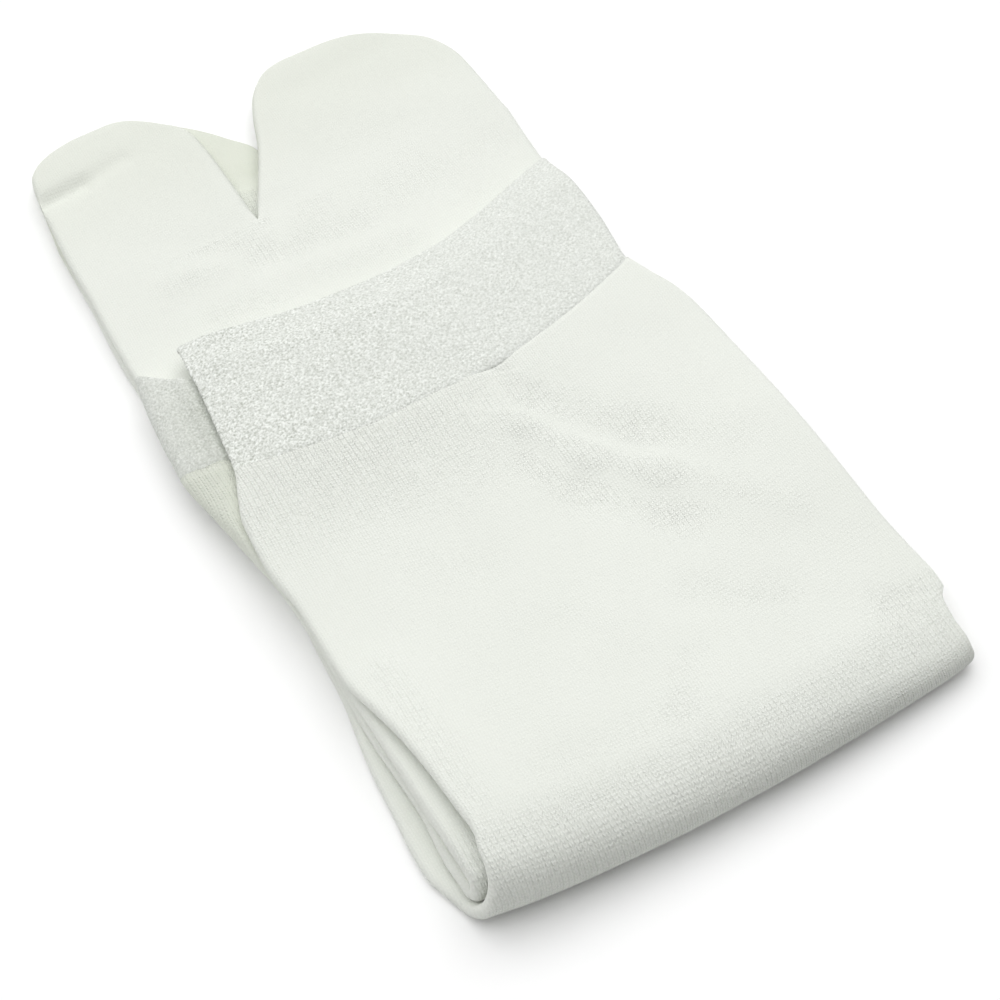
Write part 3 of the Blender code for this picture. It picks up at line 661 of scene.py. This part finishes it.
def foot_rings(net, sock, skin, shape, step):
    """Rings of a foot, between the crotch and the turn."""
    crotch_y = sock.big_toe[0].y - skin.inset
    fine = stations(crotch_y, sock.foot_fine, step)[1:]
    plain = stations(sock.foot_fine, TURN_AT, max(step, PLAIN_STEP))[1:-1]
    rings = []
    for station in [*fine, *plain]:
        line = between(lambda x: crotch_y, turn_start, (crotch_y - station) / (crotch_y - TURN_AT))
        x, y = lay_along(line, shape, sock.foot, skin.half, skin.inset)
        opened = open_share(relief(sock.layers.foot.creases, x, y), -shape.side)
        rings.append(net.add(foot_points(sock, skin, x, y, shape.side), station / SOCK_COURSE, SOCK_WALE,
                             opened, closer_toes_and_shade(sock.toe_tone, station)))
    return rings


def turn_rings(net, sock, skin, shape, count):
    """Rings round the turn, from the foot to the leg."""
    layers = sock.layers
    rings = []
    for angle in np.linspace(0, 180, count + 2):
        left, right = (column(sock.bend, edge, "angle", angle) for edge in ("left", "right"))
        x = lay(shape, left + skin.inset, right - skin.inset, skin.half, skin.half)
        y, z = turn_point(layers, skin, x, angle, shape.side)
        creases = relief(layers.leg.creases, x, y) + unevenness(x, y)
        z = z + creases * crease_share(skin, shape.side) * fade(*CREASED_TURN, angle)
        # painted shade round the turn, more low on its front
        low_share = SHOULDER_SHARE + (1 - SHOULDER_SHARE) * fade(*LOW_TURN, angle)
        rings.append(net.add(np.stack([x, y, z], 1), turn_course(layers, angle), SOCK_WALE,
                             open_share(0.0, shape.side, OPEN_AT_TURN), -turn_shade(x, 1, low_share)))
    return rings


def leg_rings(net, sock, skin, shape, step):
    """Rings of a leg, from the turn to its end inside its cuff."""
    layers = sock.layers
    end = edge_line(sock.leg_end, UNDER_CUFF)
    rings = []
    for station in stations(TURN_AT, LEG_ENDS_AT, step)[1:]:
        line = between(turn_start, end, (station - TURN_AT) / (LEG_ENDS_AT - TURN_AT))
        x, y = lay_along(line, shape, sock.leg, skin.half, skin.inset)
        creases = relief(layers.leg.creases, x, y)
        z = (leg_middle(layers, x, y) + shape.side * half_height(layers.leg, skin, x, y)
             + (creases + unevenness(x, y)) * crease_share(skin, shape.side))
        course = turn_course(layers, 180) - (station - TURN_AT) / SOCK_COURSE
        turned = 1 - fade(TURN_AT, OPEN_TO, station)
        by_cuff = OPEN_BY_CUFF * fade(OPEN_FROM, LEG_ENDS_AT, station) * (1 - fade(*OPEN_ACROSS, x))
        opened = open_share(creases, shape.side, OPEN_AT_TURN * turned + by_cuff)
        low_share = SHOULDER_SHARE * (1 - fade(TURN_AT, SHOULDER_TO, station))
        # painted shade on the leg towards its cuff, and on the turn's shoulder
        tone = sock.leg_tone * fade(*LEG_PAINTED_SHADE_ALONG, station) - turn_shade(x, turned, low_share)
        rings.append(net.add(np.stack([x, y, z], 1), course, SOCK_WALE, opened, tone))
    return rings


def build_skin(net, sock, skin, foot_step, leg_step, bend_rings):
    """One skin of a sock, from its toes to its leg's end. Gives the ring there."""
    shape, crotch_ring = toe_end(net, sock, skin)
    rings = [crotch_ring]
    rings += foot_rings(net, sock, skin, shape, foot_step)
    rings += turn_rings(net, sock, skin, shape, bend_rings)
    rings += leg_rings(net, sock, skin, shape, leg_step)
    net.loft(rings)
    return rings[-1]


def build_sock(name, material, sock):
    """One sock without its cuff, as a shell, hollow between its plies."""
    net = Net()
    outside = build_skin(net, sock, OUTSIDE, FINE_STEP, sock.leg_step, sock.bend_rings)
    inside = build_skin(net, sock, INSIDE, HOLLOW_STEP, HOLLOW_STEP, sock.bend_rings // HOLLOW_BEND)
    net.loft([outside, inside])
    return net.to_object(name, material)


# --- a cuff
HASH = (12.9898, 78.233, 37.719)  # any uneven numbers scatter the values
HASH_SIZE = 43758.5453


def scattered(column_number, row_number, seed):
    """A steady random value from 0 to 1 for each stitch."""
    value = np.sin(column_number * HASH[0] + row_number * HASH[1] + seed * HASH[2]) * HASH_SIZE
    return value - np.floor(value)


def stitches(wale, course):
    """Height of a cuff's knit, about 0 to 1: small loops that crowd together unevenly."""
    height = np.zeros_like(wale)
    for step_across, step_along in NEIGHBOURS:
        cell_w, cell_c = np.floor(wale) + step_across, np.floor(course) + step_along
        shift_w, shift_c, size, lean = (scattered(cell_w, cell_c, seed) for seed in range(4))
        across_loop = wale - cell_w - 0.5 - LOOP_SCATTER * (shift_w - 0.5)
        along_loop = course - cell_c - 0.5 - LOOP_SCATTER * (shift_c - 0.5)
        leaned = across_loop + (lean - 0.5) * along_loop
        away = (leaned / LOOP_WIDTH) ** 2 + (along_loop / LOOP_LENGTH) ** 2
        height = np.maximum(height, (LOOP_LEAST + LOOP_MORE * size) * np.exp(-away))
    return height


# A cuff: its sides, its seam and its free edge, its middle height, its creases, how far it is gathered at
# most, and how much painted shade lowers its loops' tone, all over and in the crevice
Cuff = namedtuple("Cuff", "sides seam mouth middle creases gathered dull crevice_dull")


def build_cuff(name, material, cuff):
    """A cuff as a shell, open at its mouth, with its stitches in relief."""
    shape = section(np.linspace(0, 1, CUFF_ACROSS), np.linspace(0, 1, CUFF_PLAIN))
    net = Net()
    seam, mouth = edge_line(cuff.seam), edge_line(cuff.mouth)
    length = mouth(CENTRE) - seam(CENTRE)
    half_ply = (CUFF - MOUTH) / 4
    ply_middle = (CUFF + MOUTH) / 4
    lip_share = half_ply / length

    def ring(share, half, shrink=0.0, raised=0.0):
        """A ring at a share of the way from the seam to the mouth, with a share of its stitches' relief."""
        x, y = lay_along(between(seam, mouth, share), shape, cuff.sides, half, shrink)
        course = share * length / CUFF_COURSE
        height = stitches(x / CUFF_WALE, np.full_like(x, course))
        gathered = cuff.gathered * (1 - fade(*STRETCHED, x))
        creases = relief(cuff.creases, x, y) * np.clip(shape.side, 0, 1) * (half / (CUFF / 2))
        lift = (height - 0.5) * CUFF_RELIEF * (FLAT_SHARE + (1 - FLAT_SHARE) * gathered) * raised
        z = cuff.middle(x, y) + shape.side * (half + lift) + creases
        x = x + shape.reach * lift
        # painted shade lowers the loops' tone: on the inner cuff, and more in its crevice beside the outer
        # cuff
        painted_shade_sum = cuff.dull + cuff.crevice_dull * fade(*CREVICE_ACROSS, x) * fade(*CREVICE_ALONG, y)
        return net.add(np.stack([x, y, z], 1), course, CUFF_WALE, gathered, height - painted_shade_sum)

    def half_at(share):
        """Half the cuff's thickness, which grows from its seam over a rounded shoulder."""
        short = 1 - min(1, share * length / SHOULDER)
        return SHOULDER_HALF + (CUFF / 2 - SHOULDER_HALF) * np.sqrt(1 - short ** 2)

    outside = [ring(share, half_at(share), raised=1.0)
               for share in stations(0, 1 - lip_share, CUFF_STEP / length)]
    lip = []
    for turned in np.radians(np.linspace(0, 180, LIP_RINGS + 2)[1:-1]):
        half = ply_middle + half_ply * np.cos(turned)
        lip.append(ring(1 - lip_share + lip_share * np.sin(turned), half, CUFF / 2 - half, LIP_RAISED))
    inside = [ring(share, MOUTH / 2, CUFF / 2 - MOUTH / 2)
              for share in stations(1 - lip_share, 0, HOLLOW_STEP / length)]
    rings = outside + lip + inside
    net.loft([*rings, rings[0]])
    return net.to_object(name, material)


# --- materials
# the dark sock colour serves painted shade between the stitches and in the gaps, and random patches
SOCK_LIGHT, SOCK_DARK = (0.880, 0.900, 0.848), (0.762, 0.784, 0.724)
SOCK_DULL_AND_SHADE = (0.725, 0.752, 0.665)  # where the knit is close, and painted shade
# the dark cuff colour is painted shade in the holes between its loops
CUFF_LIGHT, CUFF_DARK = (0.925, 0.947, 0.906), (0.450, 0.470, 0.415)
BLACK = (0.0, 0.0, 0.0)
YARN_FINISH = {"Roughness": 0.92, "Specular IOR Level": 0.2, "Sheen Weight": 0.15, "Sheen Roughness": 0.5}
SOCK_BUMP, CUFF_BUMP = 0.00005, 0.00006  # depth in metres of a bump height of 1

# Noises over the piece, in features for each metre, with how many finer ones are added
Noise = namedtuple("Noise", "scale detail")
COLUMN_WANDER, ROW_WANDER = Noise(90, 0), Noise(130, 0)
STITCH_VARIETY, GAP_VARIETY = Noise(900, 0), Noise(300, 0)
SOCK_YARNS, CUFF_YARNS = Noise(2200, 1), Noise(2300, 1)
SOCK_PATCHES, CUFF_PATCHES = Noise(28, 2), Noise(170, 1)

# The plain knit. Heights are in those of a stitch, and tones in shares of the way from dark to light.
# Lighter stitch tops, darker hollows and darker gaps are painted light and shade; yarns and patches vary at
# random.
WANDER = 1.2  # how far columns and rows wander, in stitches
STRAND_SLANT = 1.1  # courses that a strand climbs for each wale
STITCH_LEAST, STITCH_MORE = 0.55, 0.9  # height of a stitch, and what its noise adds at most
GAP_POWER = 5.0  # how narrow the gap between two columns is
GAP_LEAST, GAP_MORE = 0.5, 0.9  # how deep it is in open knit, and what its noise adds at most
GAP_HEIGHT, GAP_TONE = -0.5, -0.5
YARN_HEIGHT, YARN_TONE = 1.5, 3.0
SHUT_CONTRAST, OPEN_CONTRAST = 0.8, 1.7  # of the stitches in shut knit, and what open knit adds
MIDDLE_TONE, STITCH_TONE, OPEN_TONE, PATCH_TONE = 0.5, 0.35, 0.25, 0.4

# The cuffs' knit. Heights are in those of a loop, and tones in shares of the way from light to dark.
HOLE_BELOW, HOLE_TONE = 0.35, 0.32  # the height under which a hole starts, and its painted shade there
CUFF_YARN = 3.0  # height of single yarns
PATCH_LEAST, PATCH_MORE = 0.6, 0.8  # contrast of the loops, and what their noise adds at most
FLAT_CONTRAST, GATHERED_CONTRAST = 0.25, 0.42  # contrast where the cuff is flat, and what gathering adds


class Nodes:
    """A short way to write a material's nodes."""

    def __init__(self, name):
        self.material = bpy.data.materials.new(name)
        self.material.use_nodes = True
        self.tree = self.material.node_tree
        self.shader = self.tree.nodes["Principled BSDF"]

    def new(self, kind):
        return self.tree.nodes.new("ShaderNode" + kind)

    def link(self, value, socket):
        """Feed a socket from another one, or from a number or a colour."""
        if isinstance(value, bpy.types.NodeSocket):
            self.tree.links.new(value, socket)
        elif isinstance(value, tuple):
            socket.default_value = (*value, 1)
        else:
            socket.default_value = value

    def math(self, operation, *values):
        node = self.new("Math")
        node.operation = operation
        for value, socket in zip(values, node.inputs):
            self.link(value, socket)
        return node.outputs[0]

    def times(self, value, other):
        return self.math("MULTIPLY", value, other)

    def add_scaled(self, value, scale, offset):
        """value * scale + offset"""
        return self.math("MULTIPLY_ADD", value, scale, offset)

    def centred(self, value):
        """A value of 0 to 1, moved to lie about 0."""
        return self.math("SUBTRACT", value, 0.5)

    def attribute(self, name):
        node = self.new("Attribute")
        node.attribute_name = name
        return node

    def knit(self):
        """Wale and course of the knit at a point, and how far it is open or gathered there."""
        parts = self.new("SeparateXYZ")
        self.link(self.attribute("knit").outputs["Vector"], parts.inputs[0])
        return parts.outputs

    def noise(self, kind):
        """Smooth noise over the piece, about 0.5 on average."""
        place = self.new("TexCoord")
        node = self.new("TexNoise")
        self.link(place.outputs["Object"], node.inputs["Vector"])
        node.inputs["Scale"].default_value = kind.scale
        node.inputs["Detail"].default_value = kind.detail
        return node.outputs["Fac"]

    def mix(self, share, low, high):
        """A colour between two others."""
        node = self.new("Mix")
        node.data_type = "RGBA"
        self.link(share, node.inputs["Factor"])
        self.link(low, node.inputs["A"])
        self.link(high, node.inputs["B"])
        return node.outputs["Result"]

    def finish_knit(self, colour, height, distance):
        """What both knits share: matt yarn with a faint sheen, and a bump of its own depth."""
        bump = self.new("Bump")
        bump.inputs["Distance"].default_value = distance
        self.link(height, bump.inputs["Height"])
        self.link(bump.outputs["Normal"], self.shader.inputs["Normal"])
        self.link(colour, self.shader.inputs["Base Color"])
        for name, value in YARN_FINISH.items():
            self.shader.inputs[name].default_value = value
        return self.material


def plain_knit():
    """Fine plain knit: columns of V-shaped stitches, with gaps where it stands open."""
    n = Nodes("white plain knit")
    wale, course, opened = n.knit()
    wale = n.add_scaled(n.centred(n.noise(COLUMN_WANDER)), WANDER, wale)
    course = n.add_scaled(n.centred(n.noise(ROW_WANDER)), WANDER, course)
    # a column has two strands, and strand runs from -1 to 1 across each
    off_centre = n.math("ABSOLUTE", n.centred(n.math("FRACT", wale)))
    strand = n.add_scaled(off_centre, 4.0, -1.0)
    across_strand = n.add_scaled(n.times(strand, strand), -1.0, 1.0)
    slanted = n.math("FRACT", n.add_scaled(off_centre, STRAND_SLANT, course))
    along_strand = n.math("SINE", n.times(slanted, np.pi))
    # no two stitches are quite alike
    variety = n.add_scaled(n.noise(STITCH_VARIETY), STITCH_MORE, STITCH_LEAST)
    stitch = n.times(n.times(across_strand, along_strand), variety)
    # the gap between two columns, which shows where the knit stands open, with painted shade in it
    gap = n.math("POWER", n.times(off_centre, 2.0), GAP_POWER)
    gap = n.times(gap, n.times(opened, n.add_scaled(n.noise(GAP_VARIETY), GAP_MORE, GAP_LEAST)))
    yarns = n.noise(SOCK_YARNS)
    contrast = n.add_scaled(opened, OPEN_CONTRAST, SHUT_CONTRAST)
    height = n.add_scaled(yarns, YARN_HEIGHT, n.add_scaled(gap, GAP_HEIGHT, stitch))
    height = n.times(height, contrast)
    # painted light and shade: stitch tops lighter, hollows and gaps darker
    tone = n.add_scaled(n.times(n.centred(stitch), contrast), STITCH_TONE, MIDDLE_TONE)
    tone = n.add_scaled(gap, GAP_TONE, tone)
    tone = n.add_scaled(n.times(n.centred(yarns), opened), YARN_TONE, tone)
    tone = n.add_scaled(opened, OPEN_TONE, tone)
    tone = n.add_scaled(n.centred(n.noise(SOCK_PATCHES)), PATCH_TONE, tone)
    colour = n.mix(tone, SOCK_DARK, SOCK_LIGHT)
    # the detail is how much closer and duller the knit is, partly painted shade, or below 0 how much painted
    # shade darkens it
    detail = n.attribute("detail").outputs["Fac"]
    colour = n.mix(detail, colour, SOCK_DULL_AND_SHADE)
    colour = n.mix(n.times(detail, -1.0), colour, BLACK)
    return n.finish_knit(colour, height, SOCK_BUMP)


def cuff_knit():
    """Coarse elasticated knit: small loops in relief, with fine yarn on them and holes between them."""
    n = Nodes("white welt knit")
    gathered = n.knit()[2]
    # the detail is a loop's height, less the painted shade on the inner cuff
    loop = n.attribute("detail").outputs["Fac"]
    # the loops stand out more in some places than in others, and more where the cuff is gathered
    contrast = n.times(n.add_scaled(n.noise(CUFF_PATCHES), PATCH_MORE, PATCH_LEAST),
                       n.add_scaled(gathered, GATHERED_CONTRAST, FLAT_CONTRAST))
    # painted shade in the holes between the loops, and a fine speckle of single yarns
    yarns = n.noise(CUFF_YARNS)
    hole = n.add_scaled(n.centred(yarns), CUFF_YARN, n.math("SUBTRACT", HOLE_BELOW, loop))
    tone = n.add_scaled(hole, contrast, HOLE_TONE)
    return n.finish_knit(n.mix(tone, CUFF_LIGHT, CUFF_DARK), n.add_scaled(yarns, CUFF_YARN, loop), CUFF_BUMP)


# --- the object
def declare(piece, node):
    """Make a piece stand for its CAD node: attach it to the root and hide the node."""
    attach(piece, "root")
    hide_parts(node)


def build_object():
    """Both socks and both cuffs, each in its node's place."""
    socks, cuffs = plain_knit(), cuff_knit()
    outer = Sock(
        OUTER, OUTER_FOOT, OUTER_BEND, OUTER_LEG, OUTER_LEG_END, OUTER_BIG_TOE, OUTER_TOES,
        outer_count=FINE, inner_count=PLAIN, foot_fine=150.0, leg_step=FINE_STEP, bend_rings=BEND_RINGS,
        # the outer sock's toe shows only in the V between the inner sock's toes, and its tone there is mostly
        # painted shade
        toe_tone=2.2, leg_tone=0.0,
    )
    inner = Sock(
        INNER, INNER_FOOT, INNER_BEND, INNER_LEG, INNER_LEG_END, INNER_BIG_TOE, INNER_TOES,
        outer_count=PLAIN, inner_count=FINE, foot_fine=112.0, leg_step=2 * FINE_STEP,
        # the inner leg's tone towards its cuff is painted shade, from the outer sock beside it
        bend_rings=BEND_RINGS // 2, toe_tone=0.45, leg_tone=1.0,
    )
    outer_cuff = Cuff(
        OUTER_CUFF_SIDES, OUTER_LEG_END, OUTER_MOUTH, outer_cuff_middle, CUFF_FINE,
        gathered=1.0, dull=0.0, crevice_dull=0.0,
    )
    inner_cuff = Cuff(
        INNER_CUFF_SIDES, INNER_LEG_END, INNER_MOUTH, inner_cuff_middle, INNER_CUFF_CREASES,
        # painted shade on the inner cuff's loops, more in the crevice beside the outer cuff
        gathered=0.12, dull=0.35, crevice_dull=0.65,
    )
    declare(build_sock("outer_sock_knit", socks, outer), "outer_sock")
    declare(build_sock("inner_sock_knit", socks, inner), "inner_sock")
    declare(build_cuff("outer_cuff_knit", cuffs, outer_cuff), "outer_cuff")
    declare(build_cuff("inner_cuff_knit", cuffs, inner_cuff), "inner_cuff")


# --- floor, lights and camera
FLOOR_REACH, FLOOR_BELOW = 3.0, 0.0001  # metres from the middle to each edge, and under the object
FLOOR_COLOUR, FLOOR_ROUGHNESS = (0.99, 0.99, 0.99), 0.9
SKY_TOWARDS = (0.03, 0.23, 0.973)  # where the studio's ceiling is brightest
SKY_DIM, SKY_BRIGHT = 0.10, 2.18  # its strength far from there, and there
SKY_FROM = 0.50  # cosine of the angle from there at which it is dim
KEY_PLACE, KEY_SIZE, KEY_ENERGY = (0.65, 0.35, 0.65), 0.6, 1.1
FILL_PLACE, FILL_SIZE, FILL_ENERGY = (-0.7, 0.25, 0.35), 0.8, 0.5

CAMERA_PLACE = (-0.10084, -0.25443, 0.35662)
CAMERA_HEADING = (0.3925, 0.9198)  # the way it faces over the floor, 23 degrees to the right of +Y
CAMERA_DOWN, CAMERA_ROLL = 55, -7  # degrees
CAMERA_LENS = 82.8  # mm, on a frame 36 mm wide
CAMERA_REACH = (0.01, 20)  # metres


def build_floor():
    """A wide pale floor just under the object."""
    mesh = bpy.data.meshes.new("floor")
    corners = [(-1, -1), (1, -1), (1, 1), (-1, 1)]
    points = [(x * FLOOR_REACH, y * FLOOR_REACH, -FLOOR_BELOW) for x, y in corners]
    mesh.from_pydata(points, [], [(0, 1, 2, 3)])
    n = Nodes("pale floor")
    n.link(FLOOR_COLOUR, n.shader.inputs["Base Color"])
    n.link(FLOOR_ROUGHNESS, n.shader.inputs["Roughness"])
    mesh.materials.append(n.material)
    floor = new_object("floor", mesh)


def area_light(name, place, size, energy):
    """A square soft light that faces the object."""
    data = bpy.data.lights.new(name, "AREA")
    data.size, data.energy = size, energy
    light = new_object(name, data)
    light.location = place
    light.rotation_mode = "QUATERNION"
    light.rotation_quaternion = (-Vector(place)).to_track_quat("-Z", "Y")


def build_light():
    """A soft studio that is brightest overhead, with a mild key from the right and a fill from the left."""
    scene = bpy.context.scene
    scene.world = bpy.data.worlds.new("studio")
    scene.world.use_nodes = True
    tree = scene.world.node_tree
    background = tree.nodes["Background"]
    background.inputs["Color"].default_value = (1, 1, 1, 1)
    place = tree.nodes.new("ShaderNodeTexCoord")
    towards = tree.nodes.new("ShaderNodeVectorMath")
    towards.operation = "DOT_PRODUCT"
    tree.links.new(place.outputs["Generated"], towards.inputs[0])
    towards.inputs[1].default_value = SKY_TOWARDS
    strength = tree.nodes.new("ShaderNodeMapRange")
    strength.interpolation_type = "SMOOTHSTEP"
    for name, value in (("From Min", SKY_FROM), ("To Min", SKY_DIM), ("To Max", SKY_BRIGHT)):
        strength.inputs[name].default_value = value
    tree.links.new(towards.outputs["Value"], strength.inputs["Value"])
    tree.links.new(strength.outputs["Result"], background.inputs["Strength"])
    area_light("key", KEY_PLACE, KEY_SIZE, KEY_ENERGY)
    area_light("fill", FILL_PLACE, FILL_SIZE, FILL_ENERGY)
    scene.view_settings.view_transform = "Standard"


def build_camera():
    """The photo's view: from the front, a little to the left, well down and slightly rolled."""
    ahead_x, ahead_y = CAMERA_HEADING
    heading, right = Vector((ahead_x, ahead_y, 0)), Vector((ahead_y, -ahead_x, 0))
    down, roll = np.radians(CAMERA_DOWN), np.radians(CAMERA_ROLL)
    ahead = heading * np.cos(down) - Vector((0, 0, np.sin(down)))
    up = right.cross(ahead)
    across_view = right * np.cos(roll) + up * np.sin(roll)
    up_view = up * np.cos(roll) - right * np.sin(roll)
    data = bpy.data.cameras.new("camera")
    data.lens = CAMERA_LENS
    data.clip_start, data.clip_end = CAMERA_REACH
    axes = Matrix((across_view, up_view, -ahead)).transposed().to_4x4()
    camera = new_object("camera", data)
    camera.matrix_world = Matrix.Translation(CAMERA_PLACE) @ axes
    bpy.context.scene.camera = camera


build_object()
build_floor()
build_light()
build_camera()
